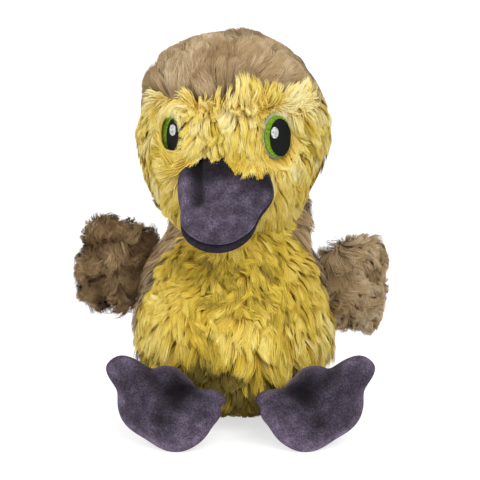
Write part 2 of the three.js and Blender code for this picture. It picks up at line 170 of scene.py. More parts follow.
def cloth_material(name, stops, size_mm=6, rough=0.95, sheen=0.1, grain_mm=0.8, grain_depth=0.3):
    """A cloth with soft changes of tone size_mm across and a grain of grain_mm."""
    material, tree, surface = new_material(name, {"Roughness": rough, "Sheen Weight": sheen})
    tone = noise(tree, size_mm, 3.0, 0.6)
    tree.links.new(ramp(tree, tone, stops), surface.inputs["Base Color"])
    bumped(tree, surface, noise(tree, grain_mm), grain_depth)
    return material


# Long polyester pile, yellow: golden where the locks part, partly its own tone and partly painted
# shade, cream where the light catches the tips, partly a painted highlight, and dark olive at its
# dullest end, the painted shade of the low tummy.
yellow_pile = pile_material(
    "yellow_polyester_pile",
    [(0.0, "#5c4a10"), (0.15, "#8c7018"), (0.32, "#c09221"), (0.55, "#d6ae44"), (1.0, "#e4ce88")],
    [(0.0, "#6e6133"), (0.15, "#ac9439"), (0.32, "#e2c242"), (0.55, "#f7e37a"), (1.0, "#fcf5c8")])
# The same pile in grey-brown, a little duller.
brown_pile = pile_material(
    "brown_polyester_pile",
    [(0.0, "#3d2a19"), (0.5, "#836a49"), (1.0, "#ab916d")],
    [(0.0, "#6a5035"), (0.5, "#b89c73"), (1.0, "#e6d4b3")])
# The knitted cloth that the pile grows from, a little darker than the pile over it: painted shade,
# so that the gaps between the locks look deep.
yellow_backing = cloth_material(
    "yellow_knit_backing", [(0.3, "#a88426"), (0.7, "#c29b38")])
brown_backing = cloth_material(
    "brown_knit_backing", [(0.3, "#584229"), (0.7, "#6c543a")])
FUR = {"yellow": (yellow_pile, yellow_backing), "brown": (brown_pile, brown_backing)}


# Forms

def to_frame(matrix, points):
    """Points in the toy's frame, given in a group's frame."""
    return points @ np.array(matrix.to_3x3()).T + np.array(matrix.translation)


def smooth(low, high, value):
    """0 at low and before it, 1 at high and past it, and a soft change between."""
    t = np.clip((value - low) / (high - low), 0, 1)
    return t * t * (3 - 2 * t)


def bell(value, middle, width):
    """1 in the middle, and less and less with the distance from it."""
    return np.exp(-((value - middle) / width) ** 2)


# Each eye's place in the head's frame, with its embroidery facing along minus Y.
EYE_PLACES = {sign: Matrix.Translation((0, 0, EYE_ABOVE))
              @ (Matrix.Rotation(sign * EYE_AROUND, 4, "Z")
                 @ Matrix.Rotation(-sign * EYE_LEAN, 4, "Y")) for sign in (-1, 1)}


def swollen_level(form, points):
    """1 on the surface of a swelling form about its centre, less inside, more outside."""
    x = points[:, 0] / form["side"]
    y = points[:, 1] / np.where(points[:, 1] < 0, form["front"], form["back"])
    z = points[:, 2] / np.where(points[:, 2] > 0, form["top"], form["bottom"])
    power = np.where(points[:, 2] > 0, form["upper"], form["lower"])
    plan = (np.abs(x) ** form["plan"] + np.abs(y) ** form["plan"]) ** (1 / form["plan"])
    return (plan ** power + np.abs(z) ** power) ** (1 / power) + 1e-9


def shrunk(form, inset):
    """The form at some depth under its surface."""
    smaller = dict(form)
    for key in ("side", "front", "back", "top", "bottom"):
        smaller[key] = form[key] - inset
    return smaller


BODY_BACKING = shrunk(BODY, BACKING_DEPTH)


def by_patch(points, sign):
    """How far out from the middle of an eye's patch a point of the head is, 1 on its rim."""
    local = to_frame(EYE_PLACES[sign].inverted(), points)
    far = np.hypot(local[:, 0] / EYE_HALF_WIDTH, local[:, 2] / EYE_HALF_HEIGHT)
    return np.where(local[:, 1] < -20, far, 9.0)


def head_height(points):
    """Height above the head's backing, in the head's own frame. It dips round each eye, where the
    patch is sewn down."""
    dip = sum(smooth(1.5, 1.05, by_patch(points, sign)) for sign in (-1, 1))
    inset = BACKING_DEPTH + (EYE_BACKING_DEPTH - BACKING_DEPTH) * dip
    far = np.linalg.norm(points, axis=1)
    return far * (1 - 1 / swollen_level(shrunk(HEAD, inset), points))


def body_height(points):
    """Height above the body's backing: the pear and the neck, blended softly."""
    about = points - BODY_CENTRE
    pear = np.linalg.norm(about, axis=1) * (1 - 1 / swollen_level(BODY_BACKING, about))
    neck = np.linalg.norm(points - NECK_CENTRE, axis=1) - (NECK_RADIUS - BACKING_DEPTH)
    share = np.clip(0.5 + (pear - neck) / (2 * NECK_BLEND), 0, 1)
    return pear * (1 - share) + neck * share - NECK_BLEND * share * (1 - share)


def unit(vectors):
    return vectors / (np.linalg.norm(vectors, axis=-1, keepdims=True) + 1e-9)


def slope(height, points):
    """The way up from a surface that is given by its height."""
    here = height(points)
    return unit(np.stack([height(points + SLOPE_STEP * axis) - here for axis in np.eye(3)], axis=1))


def cast(height, centre, ways):
    """Where rays from centre leave the form."""
    low = np.zeros(len(ways))
    high = np.full(len(ways), RAY_REACH)
    for _ in range(30):
        middle = (low + high) / 2
        inside = height(centre + ways * middle[:, None]) < 0
        low = np.where(inside, middle, low)
        high = np.where(inside, high, middle)
    return centre + ways * high[:, None]


def form_bmesh(height, centre):
    """A ball whose vertices are moved out to the form."""
    bm = bmesh.new()
    bmesh.ops.create_icosphere(bm, subdivisions=FORM_SUBDIVISIONS, radius=1.0)
    ways = np.array([v.co[:] for v in bm.verts])
    ways /= np.linalg.norm(ways, axis=1, keepdims=True)
    for vertex, place in zip(bm.verts, cast(height, centre, ways)):
        vertex.co = place
    return bm


def triangles_of(bm):
    """Corner places of a bmesh's faces, as an array."""
    bm.verts.index_update()
    places = np.array([v.co[:] for v in bm.verts])
    faces = np.array([[v.index for v in face.verts] for face in bm.faces])
    return places[faces]


def split_faces(bm):
    """The same for faces of any count of corners, split and in one order, whatever order the
    mesh itself holds them in."""
    corners = []
    for face in bm.faces:
        ring = [tuple(vertex.co) for vertex in face.verts]
        first = ring.index(min(ring))
        ring = ring[first:] + ring[:first]
        corners += [(ring[0], ring[i], ring[i + 1]) for i in range(1, len(ring) - 1)]
    return np.array(sorted(corners))


def area_of(corners):
    return np.linalg.norm(np.cross(corners[:, 1] - corners[:, 0], corners[:, 2] - corners[:, 0]),
                          axis=1) / 2


def scattered(corners, count, draw):
    """Random places on triangles, evenly by area."""
    area = area_of(corners)
    chosen = draw.choice(len(corners), count, p=area / area.sum())
    a, b = draw.random((2, count, 1))
    over = a + b > 1
    a, b = np.where(over, 1 - a, a), np.where(over, 1 - b, b)
    c = corners[chosen]
    return c[:, 0] + a * (c[:, 1] - c[:, 0]) + b * (c[:, 2] - c[:, 0])


def in_scene(name, data):
    made = bpy.data.objects.new(name, data)
    bpy.context.scene.collection.objects.link(made)
    return made


def linked(name, mesh, material, body, nodes):
    """The mesh as a piece that rides on a body and stands for the CAD nodes."""
    mesh.materials.append(material)
    piece = in_scene(name, mesh)
    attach(piece, body)
    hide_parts(*nodes)
    return piece


def finished(bm, name, body, material, nodes, matrix=Matrix.Identity(4)):
    """The bmesh, given in a group's frame in millimetres, as a smooth piece."""
    mesh = bpy.data.meshes.new(name)
    bmesh.ops.transform(bm, matrix=Matrix.Scale(MM, 4) @ matrix, verts=bm.verts)
    bm.to_mesh(mesh)
    bm.free()
    mesh.shade_smooth()
    return linked(name, mesh, material, body, nodes)


# Pile

# A strand is turned about its own length by about so much, in radians, and its shading follows
# the form under it so many times more than its own flat ribbon, as in a deep soft pile.
STRAND_TWIST, UNDER_SHARE = 0.24, 2.5
STRAND_TAPER = 2.4
# No strand reaches closer to the floor than this.
FLOOR_CLEARANCE = 0.35
# How wide a strand is on its own map: three pixels of a baked picture.
MAP_WIDTH = 3 / 2048
# How low the pile may be pressed, how close over the backing it lies, and the part of its height
# from which it is pressed at all.
LEAST_HIGH, LEAST_LOW, KNEE = 2.0, 0.8, 0.6


def waves(points, size, seed):
    """Smooth noise with features about size across, mostly between -1 and 1."""
    draw = np.random.default_rng(seed)
    ways = draw.normal(size=(9, 3))
    lengths = np.linalg.norm(ways, axis=1)[:, None]
    ways *= 2 * math.pi / size * draw.uniform(0.6, 1.3, (9, 1)) / lengths
    return np.sin(points @ ways.T + draw.uniform(0, 2 * math.pi, 9)).sum(1) / 3


def nearest(points, chosen):
    """For each point, the index of the nearest chosen one."""
    tree = KDTree(len(chosen))
    for i in chosen:
        tree.insert(points[i], int(i))
    tree.balance()
    return np.array([tree.find(p)[1] for p in points])


def combed(roots, normals, flow, length, coat, area, draw):
    """Paths of strands: they leave the backing at an angle, bend over along the flow, and gather
    into wisps and locks towards their tips."""
    count = len(roots)
    lock_of, wisp_of = (
        nearest(roots, draw.choice(count, max(3, int(area / coat[group] ** 2)), replace=False))
        for group in ("lock", "wisp"))
    lock_of = lock_of[wisp_of]

    def varied(what):
        """What differs from lock to lock and from wisp to wisp, for each strand."""
        by_lock = draw.normal(0, coat[f"lock_{what}"], count)[lock_of]
        return by_lock + draw.normal(0, coat[f"wisp_{what}"], count)[wisp_of]

    yaw = np.radians(varied("yaw") + draw.normal(0, coat["strand_yaw"], count))
    bend, lift = np.radians(varied("bend")), np.radians(varied("lift"))
    longer = draw.normal(0, 0.1, count)[lock_of] + draw.normal(0, 0.1, count)
    long = length * np.clip(1 + longer, 0.55, 1.35)
    flow = unit(flow - normals * (flow * normals).sum(1)[:, None])
    side = np.cross(normals, flow)
    steps = coat["steps"]
    path = np.empty((count, steps + 1, 3))
    path[:, 0] = roots
    for k in range(steps):
        t = (k + 0.5) / steps
        turn = yaw + bend * (t - 0.15) * 1.6
        up = np.radians(coat["tip_lift"]) + lift + np.radians(coat["root_lift"]) * (1 - t) ** 1.4
        along = flow * np.cos(turn)[:, None] + side * np.sin(turn)[:, None]
        way = along * np.cos(up)[:, None] + normals * np.sin(up)[:, None]
        way = unit(way - np.array([0, 0, coat["hang"] * t]))
        path[:, k + 1] = path[:, k] + way * (long / steps)[:, None]
    along_strand = np.linspace(0, 1, steps + 1)[None, :, None]
    path += (path[wisp_of] - path) * coat["wisp_gather"] * along_strand ** 1.2
    path += (path[lock_of] - path) * coat["lock_gather"] * along_strand ** 1.6
    path += draw.normal(0, coat["frizz"], (count, 1, 3)) * along_strand ** 1.5
    return path, varied("pale") + draw.normal(0, coat["strand_pale"], count)


def settled(path, height, high):
    """Keeps strands above the backing, and presses down what stands too high: high is how high
    each may stand."""
    flat = path.reshape(-1, 3).copy()
    high = np.repeat(np.maximum(high, LEAST_HIGH), path.shape[1])
    along = np.tile(np.linspace(0, 1, path.shape[1]), path.shape[0])
    least = LEAST_LOW * np.clip(along * 4, 0.2, 1)
    for _ in range(2):
        above = height(flat)
        knee = high * KNEE
        over = np.maximum(above - knee, 0)
        pressed = knee + (high - knee) * (1 - np.exp(-over / (high - knee)))
        wanted = np.maximum(np.where(above > knee, pressed, above), least)
        move = wanted - above
        moving = np.abs(move) > 0.02
        flat[moving] += slope(height, flat[moving]) * move[moving, None]
    return flat.reshape(path.shape)


def strands(name, path, normals, width, pale, panel, draw):
    """Tapered ribbons along the paths, as one piece of the panel."""
    count, points = path.shape[:2]
    steps = points - 1
    ahead = unit(np.gradient(path, axis=1))
    across = unit(np.cross(ahead, normals[:, None, :]))
    twist = draw.normal(0, STRAND_TWIST, (count, 1, 1))
    across = across * np.cos(twist) + np.cross(ahead, across) * np.sin(twist)
    along = np.linspace(0, 1, points)
    half = width * 0.5 * (1 - along ** STRAND_TAPER) * draw.uniform(0.75, 1.25, (count, 1))
    aside = across[:, :steps] * half[:, :steps, None]
    corner = np.arange(2 * steps + 1)
    places = np.empty((count, len(corner), 3))
    places[:, 0:-1:2] = path[:, :steps] - aside
    places[:, 1::2] = path[:, :steps] + aside
    places[:, -1] = path[:, -1]
    placed = places.reshape(-1, 3)
    placed[:, 2] = np.maximum(placed[:, 2], FLOOR_CLEARANCE)

    quads = [[2 * k, 2 * k + 1, 2 * k + 3, 2 * k + 2] for k in range(steps - 1)]
    ring = np.concatenate(quads + [[2 * steps - 2, 2 * steps - 1, 2 * steps]])
    loops = (ring[None] + (np.arange(count) * len(corner))[:, None]).ravel()
    totals = np.tile([4] * (steps - 1) + [3], count)
    starts = np.concatenate([[0], np.cumsum(totals)[:-1]])
    mesh = bpy.data.meshes.new(name)
    mesh.vertices.add(len(placed))
    mesh.vertices.foreach_set("co", (placed * MM).ravel().astype(np.float32))
    mesh.loops.add(len(loops))
    mesh.loops.foreach_set("vertex_index", loops.astype(np.int32))
    mesh.polygons.add(len(totals))
    mesh.polygons.foreach_set("loop_start", starts.astype(np.int32))
    u = np.clip(pale, 0.02, 0.96)[:, None] + MAP_WIDTH * (corner % 2)
    v = np.tile(0.01 + 0.98 * along[corner // 2], count)
    uv = np.stack([u.ravel(), v], axis=1)[loops]
    layer = mesh.uv_layers.new(name="OFBake")
    layer.data.foreach_set("uv", uv.ravel().astype(np.float32))
    mesh.update(calc_edges=True)
    mesh.validate()
    mesh.shade_smooth()
    own = np.empty(len(placed) * 3, np.float32)
    mesh.vertices.foreach_get("normal", own)
    under = np.repeat(normals, len(corner), axis=0)
    mesh.normals_split_custom_set_from_vertices(unit(own.reshape(-1, 3) + UNDER_SHARE * under))
    linked(name, mesh, FUR[panel["hue"]][0], panel["body"],
           [panel["node"]])


# Each coat: how far apart the middles of locks and of wisps are, in millimetres; how far each is
# turned, bent and lifted, in degrees; how steeply a strand leaves the backing and ends; how much
# it gathers into its wisp and lock; how much its tip strays; how its shade varies; how it hangs;
# and how many steps a strand has.
LONG_COAT = dict(lock=7.0, wisp=1.9, lock_yaw=16, wisp_yaw=11, strand_yaw=7, lock_bend=16,
                 wisp_bend=12, lock_lift=7, wisp_lift=6, root_lift=46, tip_lift=4,
                 wisp_gather=0.55, lock_gather=0.3, frizz=0.5, lock_pale=0.09, wisp_pale=0.08,
                 strand_pale=0.05, hang=0.0, steps=5)
FACE_COAT = dict(LONG_COAT, lock=5.0, lock_yaw=12, lock_bend=9, lock_lift=5, wisp_lift=5,
                 tip_lift=12, lock_gather=0.34)
RIM_COAT = dict(FACE_COAT, lock_yaw=6, wisp_yaw=6, lock_gather=0.15)
CHEEK_COAT = dict(LONG_COAT, lock=5.5, lock_yaw=12, lock_bend=9, wisp_bend=8, lock_gather=0.35,
                  lock_lift=5, tip_lift=8, hang=0.6)
CHEST_COAT = dict(LONG_COAT, lock=4.5, lock_yaw=22, wisp_yaw=16, lock_bend=14, lock_gather=0.3,
                  root_lift=42, tip_lift=16, lock_lift=6, lock_pale=0.05, wisp_pale=0.06)
BELLY_COAT = dict(LONG_COAT, lock=7.0, lock_yaw=17, lock_bend=15, wisp_bend=10, lock_gather=0.46,
                  lock_lift=10, tip_lift=10, hang=0.5, lock_pale=0.11)
CROWN_COAT = dict(LONG_COAT, lock=8.0, lock_yaw=10, wisp_yaw=7, lock_bend=12, wisp_bend=9,
                  lock_lift=5, wisp_lift=4, lock_gather=0.3, wisp_gather=0.4, root_lift=44)
WING_COAT = dict(LONG_COAT, lock=5.5, wisp=1.6, lock_yaw=45, lock_bend=80, wisp_bend=40,
                 lock_lift=10, wisp_lift=8, root_lift=55, tip_lift=4, lock_gather=0.3,
                 wisp_gather=0.3, frizz=0.8)


def turned(flow, normals, degrees):
    """The flow turned about the normals."""
    angle = np.radians(degrees)[:, None]
    return flow * np.cos(angle) + np.cross(normals, flow) * np.sin(angle)


# Pads: wings, feet and bill

def superellipse(ahead, behind, half_width, power, taper):
    """A rounded outline: where it lies at an angle, and how far out a point is, 1 on the rim."""
    def rim(angle):
        x, y = np.cos(angle), np.sin(angle)
        stretch = (np.abs(x) ** power + np.abs(y) ** power) ** (-1 / power)
        return np.stack([x * stretch * np.where(x > 0, ahead, behind),
                         y * stretch * half_width * (1 - taper * x * stretch)], axis=1)

    def reach(x, y):
        far = np.ones(len(x))
        along = x / np.where(x > 0, ahead, behind)
        for _ in range(6):
            part = np.clip(along / far, -1, 1)
            across = y / (half_width * (1 - taper * part))
            far = (np.abs(along) ** power + np.abs(across) ** power) ** (1 / power) + 1e-6
        return far
    return rim, reach


SOLE_RADIUS, SOLE_MIDDLE = 15.0, 21.0
LOBES = ((147, 13, 18), (91, 3.3, 24), (9, 5.5, 10), (0, 5.8, 21), (-54, 13, 62), (-177, 12, 58))


def foot_reach(angle):
    far = np.full(len(angle), SOLE_RADIUS)
    for at, length, spread in LOBES:
        turn = (angle - math.radians(at) + math.pi) % (2 * math.pi) - math.pi
        far = far + length * np.exp(-np.abs(turn / math.radians(spread)) ** 3)
    return far


def foot_outline():
    def rim(angle):
        far = foot_reach(angle)
        return np.stack([np.cos(angle) * far, np.sin(angle) * far], axis=1)

    def reach(x, y):
        return np.hypot(x, y) / foot_reach(np.arctan2(y, x)) + 1e-6
    return rim, reach


def mirrored(outline):
    rim, reach = outline

    def other_rim(angle):
        return rim(math.pi - angle) * np.array([-1, 1])
    return other_rim, lambda x, y: reach(-x, y)


EDGE_ROUNDNESS = 0.75


def pad_bmesh(outline, above, below, around, rows, inset=0.0, shape=None, middle=None):
    """A stuffed pad: a ball with its poles on Z, moved out to the outline and its fullness."""
    bm = bmesh.new()
    bmesh.ops.create_uvsphere(bm, u_segments=around, v_segments=rows, radius=1.0)
    ball = np.array([v.co[:] for v in bm.verts])
    flat = np.clip(np.hypot(ball[:, 0], ball[:, 1]), 0, 1)
    rim = outline[0](np.arctan2(ball[:, 1], ball[:, 0]))
    rim_reach = np.hypot(rim[:, 0], rim[:, 1])
    core = middle - inset if middle else rim_reach - inset
    far = flat ** EDGE_ROUNDNESS * (core + (rim_reach - inset - core) * flat ** 2) / rim_reach
    places = np.column_stack([rim * far[:, None],
                              ball[:, 2] * (np.where(ball[:, 2] > 0, above, below) - inset)])
    # Painted light and shade for the velboa's colour, which the shape may give; 1 paints none.
    painted_shading = np.ones(len(places))
    if shape:
        places, painted_shading = shape(places, far, ball[:, 2])
    layer = bm.verts.layers.float.new("painted_shading")
    for vertex, place, painted_value in zip(bm.verts, places, painted_shading):
        vertex.co = place
        vertex[layer] = painted_value
    return bm


def pad_height(outline, above, below, points):
    """How far a point stands over the pad's face, along Z, and whether it is within its rim."""
    far = outline[1](points[:, 0], points[:, 1]) ** (1 / EDGE_ROUNDNESS)
    full = np.where(points[:, 2] > 0, above, below)
    face = full * np.sqrt(np.clip(1 - far ** 2, 0, 1))
    return np.abs(points[:, 2]) - face, far < 1


WING_BEHIND = 8.0


def body_reach_at(height):
    rise = height - BODY_WIDEST
    part = abs(rise) / (BODY["top"] if rise > 0 else BODY["bottom"])
    power = BODY["upper"] if rise > 0 else BODY["lower"]
    level = (1 - part ** power) ** (1 / power)
    behind = WING_BEHIND / BODY["back"]
    return BODY["side"] * (level ** BODY["plan"] - behind ** BODY["plan"]) ** (1 / BODY["plan"])


WING_REACH, WING_ROOT, WING_HALF_HEIGHT = 21.0, 19.0, 27.0
WING_HALF_DEPTH = 9.5
WING_GAP, WING_HINGE = 0.3, 6.0
# How far from the wing's middle its rim lies, and how long its middle's own scale is.
WING_RIM_REACH, WING_MIDDLE_SCALE = 24.0, 22.0
# How pale the pile of each wing is, as painted light: the one with x over nothing, on the key lamp's
# side, is the paler, and the other is painted darker as shade.
WING_PAINTED_LIGHT = {-1: 0.17, 1: 0.56}
WING_OUTLINE = superellipse(WING_REACH, WING_ROOT, WING_HALF_HEIGHT, 3.6, -0.1)


def wing_frame(side):
    sign, height = side["sign"], side["wing_height"]
    lean = math.atan2(body_reach_at(height - 1) - body_reach_at(height + 1), 2)
    standoff = WING_GAP + WING_HINGE
    turn = math.radians(side["wing_lift"]) - lean
    out = WING_ROOT - WING_HINGE
    hinge = (Matrix.Translation((sign * (body_reach_at(height) + standoff * math.cos(lean)),
                                 WING_BEHIND, height + standoff * math.sin(lean)))
             @ Matrix.Rotation(-sign * lean, 4, "Y")
             @ Matrix.Rotation(sign * math.radians(side["wing_sweep"]), 4, "Z"))
    return (hinge @ Matrix.Translation((sign * out * math.cos(turn), 0, out * math.sin(turn)))
            @ Matrix.Rotation(-sign * turn, 4, "Y") @ Matrix.Rotation(math.pi / 2, 4, "X"))


SOLE_DEPTH, FOOT_BACK_DEPTH = 12.0, 19.5
FOOT_AHEAD, FOOT_LEAN = 8.0, math.radians(15)
FOOT_YAW = math.radians(10)
FOOT_OUTLINE = foot_outline()
FOOT_DROP = float(-FOOT_OUTLINE[0](np.radians(np.arange(0, 360, 5)))[:, 1].min())


def foot_outline_of(side):
    return FOOT_OUTLINE if side["sign"] < 0 else mirrored(FOOT_OUTLINE)


def foot_frame(side):
    sign = side["sign"]
    return (Matrix.Translation((sign * side["foot_aside"], -BODY["front"] - FOOT_AHEAD,
                                FOOT_DROP * math.cos(FOOT_LEAN) - FLOOR_CUT))
            @ Matrix.Rotation(sign * FOOT_YAW, 4, "Z")
            @ Matrix.Rotation(math.pi / 2 - FOOT_LEAN, 4, "X"))


BILL_OUTLINE = superellipse(31.0, 34.0, 22.5, 2.2, 0.29)
BILL_UPPER_DEPTH, BILL_LOWER_DEPTH = 12.0, 9.0
BILL_BUMP, BILL_BUMP_AHEAD, BILL_BUMP_LENGTH = 4.0, -3.0, 11.0
cos_pitch, sin_pitch = math.cos(BILL_PITCH), math.sin(BILL_PITCH)
BILL_FRAME = HEAD_FRAME @ Matrix((
    (0, 1, 0, 0),
    (-cos_pitch, 0, -sin_pitch, -BILL_AHEAD),
    (-sin_pitch, 0, cos_pitch, -BILL_BELOW),
    (0, 0, 0, 1)))


def eye_frame(sign):
    return HEAD_FRAME @ EYE_PLACES[sign]


eye_way = np.array([[math.sin(EYE_AROUND), -math.cos(EYE_AROUND), 0.0]])
EYE_SEAT = 1.0 + float(np.linalg.norm(
    eye_way / swollen_level(dict(HEAD, side=1, front=1, back=1, top=1, bottom=1), eye_way)[:, None]
    * np.array([HEAD["side"] - FUR_DEPTH, HEAD["front"] - FUR_DEPTH, 0.0])))
EYE_FACE, EYE_PATCH_FACE = EYE_SEAT + 3.6, EYE_SEAT + 0.5
AHEAD = Vector((0.0, -1.0, 0.19))


def eye_excess(points, sign, loose):
    """How far a point has come over the open part of an eye, seen from ahead of the toy and a
    little above; less than nothing outside its rim or behind its face."""
    local = to_frame(eye_frame(sign).inverted(), points)
    before = -(local[:, 1] + EYE_PATCH_FACE) / 8.0
    way = eye_frame(sign).to_3x3().inverted() @ AHEAD
    local = local - np.outer((local[:, 1] + EYE_FACE) / way.y, way)
    window = EYE_WINDOWS[sign]
    far = np.hypot((local[:, 0] - window["aside"]) / window["half_width"],
                   (local[:, 2] - window["above"]) / window["half_height"])
    return np.minimum(1 + loose - far, before)


def on_patch(points, sign):
    return by_patch(to_frame(HEAD_FRAME.inverted(), points), sign) < 1.0


# What the pile leaves open of each eye: on the far side of the turned head it covers the rim.
EYE_WINDOWS = {
    1: dict(half_width=8.5, half_height=12.1, aside=-0.1, above=0.0),
    -1: dict(half_width=7.2, half_height=10.2, aside=-0.9, above=-0.4),
}
# The edge of the pile round an eye is uneven by about this part of the eye's size.
RAGGED = 0.05
# Strands lie this far over the bill, and sink at most this far into a foot.
OVER_BILL, INTO_FOOT = 0.7, 0.5
# The fringe over the bill: across the bill, how far it hangs down over the upper panel.
FRINGE_ACROSS = (-23.0, -14.0, -10.4, -5.0, 0.5, 3.5, 6.5, 10.0, 14.0, 17.0, 21.0, 24.0)
FRINGE_REACH = (-15.0, -17.0, -21.5, -16.5, -20.0, -17.0, -13.0, -9.0, -8.0, -11.0, -8.0, -6.0)


def fringe_excess(points, loose):
    """How far a point lies past the fringe on the upper side of the bill."""
    local = to_frame(BILL_FRAME.inverted(), points)
    limit = np.interp(local[:, 1], FRINGE_ACROSS, FRINGE_REACH) + loose
    over_it = (np.abs(local[:, 1]) < 26) & (local[:, 2] > 0)
    return np.where(over_it, local[:, 0] - limit, -9.0)


def ended(path, excess):
    """The strands, cut short where their excess first rises over nothing."""
    count, points = excess.shape
    crossing = (excess[:, 1:] > 0) & (excess[:, :-1] <= 0)
    where = np.where(crossing.any(1), crossing.argmax(1), points)
    row = np.arange(count)
    before = np.minimum(where, points - 2)
    low, high = excess[row, before], excess[row, before + 1]
    part = before + np.clip(-low / (high - low + 1e-9), 0, 1)
    last = np.where(where < points, part, points - 1)
    at = np.linspace(0, 1, points)[None] * last[:, None]
    left = np.clip(np.floor(at).astype(int), 0, points - 2)
    share = (at - left)[:, :, None]
    return path[row[:, None], left] * (1 - share) + path[row[:, None], left + 1] * share


def cleared(path, draw):
    """Strands (in the toy's frame) that keep clear of the eyes, the bill and the feet, and which
    of them are kept."""
    count, points = path.shape[:2]
    keep = np.ones(count, bool)
    for sign in (-1, 1):
        loose = RAGGED * waves(path[:, 0], 4.0, 62) + draw.normal(0, RAGGED, count) - 0.04
        past = eye_excess(path.reshape(-1, 3), sign, np.repeat(loose, points))
        past = past.reshape(count, points)
        past[:, 0] = np.minimum(past[:, 0], -0.01)
        keep &= ~on_patch(path[:, 0], sign)
        path = ended(path, past)
    tufted = 2.5 * waves(path[:, 0], 4.5, 61) + 1.2 - np.abs(draw.normal(0, 2.0, count))
    loose = np.repeat(tufted, points)
    past = fringe_excess(path.reshape(-1, 3), loose).reshape(count, points)
    keep &= past[:, 0] < 0
    path = ended(path, past)
    flat = path.reshape(-1, 3)
    over, within = bill_height(to_frame(BILL_FRAME.inverted(), flat))
    inside = (within & (over < -0.2)).reshape(count, points)
    keep &= ~(inside[:, :points // 2].any(1))
    for side in SIDES:
        local = to_frame(foot_frame(side).inverted(), flat)
        over, within = pad_height(foot_outline_of(side), SOLE_DEPTH, FOOT_BACK_DEPTH, local)
        sunk = np.where(within, -over - INTO_FOOT, -1.0).reshape(count, points)
        keep &= sunk[:, 0] < 0
        path = ended(path, sunk)
        flat = path.reshape(-1, 3)
    return path, keep


def bill_bump(x):
    """How far the bill bulges out at the corner of its mouth with y over nothing."""
    return BILL_BUMP * bell(x, BILL_BUMP_AHEAD, BILL_BUMP_LENGTH)


def bill_spread(x, y):
    """How much wider than its outline the bill is towards its tip."""
    return 1 + np.where(y > 0, 0.3, 0.38) * smooth(6, 27, x)


def bill_height(local):
    """Height over the bill's face of points in its frame, and whether they are within its rim."""
    x, y, z = local.T
    wider = bill_bump(x) * smooth(2, 15, y)
    narrowed = np.column_stack([x, (y - wider) / bill_spread(x, y), z])
    return pad_height(BILL_OUTLINE, BILL_UPPER_DEPTH, BILL_LOWER_DEPTH, narrowed)


def over_bill(path):
    """Strands that would end in the bill are moved forward and lie on top of it."""
    local = to_frame(BILL_FRAME.inverted(), path.reshape(-1, 3))
    over, within = bill_height(local)
    sunk = within & (over < OVER_BILL) & (local[:, 2] > -2)
    local[sunk, 0] += 0.8 * (OVER_BILL - over[sunk])
    over, within = bill_height(local)
    local[sunk, 2] += np.where(within, OVER_BILL - over, 0)[sunk]
    return to_frame(BILL_FRAME, local).reshape(path.shape)


# Head

# The brow seam is hidden by the pile, which lets the brown in over the left of the bridge and
# stands in tufts elsewhere: (aside, half width, how much longer).
PEAK_ASIDE, PEAK_DROP, PEAK_WIDTH = -7.5, 2.5, 5.0
TUFTS = ((12.5, 4.5, 5.5), (20.5, 3.5, 3.5), (-15.0, 3.0, 3.0), (-34.0, 6.0, 3.0))


def brow_line(x):
    peak = PEAK_DROP * bell(x, PEAK_ASIDE, PEAK_WIDTH)
    return BROW_HEIGHT + 1.5 * smooth(2, 14, x) - peak


def in_face(points):
    x, y, z = points.T
    behind = np.interp(z, FACE_SEAM_HEIGHTS, FACE_SEAM_BEHIND) + x * math.tan(FACE_SKEW)
    behind = behind - 7 * smooth(-30, -42, x) * smooth(-14, 0, z)
    return (z < brow_line(x)) & (y < behind)


def eye_lean(points):
    """How the pile round each eye leans in over its rim: most from the bridge over the left one."""
    lean = np.zeros(points.shape)
    inner = 0.3 + 2.2 * smooth(-36, -28, points[:, 0])
    for sign, weight, reach in ((-1, inner, 1.9), (1, 0.1, 1.55)):
        near = smooth(reach, 1.1, by_patch(points, sign))
        middle = np.array([sign * HEAD["side"] * math.sin(EYE_AROUND), 0, EYE_ABOVE])
        toward = (middle - points) * np.array([1, 0, 1])
        lean += unit(toward) * (weight * near)[:, None]
    return lean


def crown_flow(points):
    x, y, z = points.T
    way = unit(np.stack([0.35 * x, z, -y], axis=1))
    return way + np.stack([-0.25 * smooth(20, 45, z), 0 * x, -0.7 * smooth(20, -20, z)], axis=1)


def face_flow(points):
    """Up over the brow from the parting and down and outwards under it, round the eyes."""
    x, y, z = points.T
    parting = brow_line(x) - 1.5 - 3.0 * smooth(4, 12, x) + 1.5 * waves(points, 4.0, 18)
    parting = parting + 2.2 * waves(points, 1.0, 19)
    rise = np.clip((z - parting) / 1.5, -1, 1)
    out = np.sign(x) * smooth(12, 36, np.abs(x))
    under = smooth(-8, -16, z) * smooth(6, 26, np.abs(x)) * np.where(x > 0, 0.15, -0.5)
    way = np.stack([np.where(x < 0, 0.5, 0.75) * out + under, 0 * x - 0.1,
                    np.where(rise > 0, 0.9 * rise, rise)], axis=1)
    return unit(way) + eye_lean(points)


def face_length(points):
    x, y, z = points.T
    length = 13 + 9 * smooth(-8, -38, z) + 9 * smooth(-2, -12, z) * smooth(30, 20, np.abs(x))
    for aside, wide, longer in TUFTS:
        length = length + longer * smooth(14, 16, z) * bell(x, aside, wide)
    return length


def all_of(points):
    return np.ones(len(points), bool)


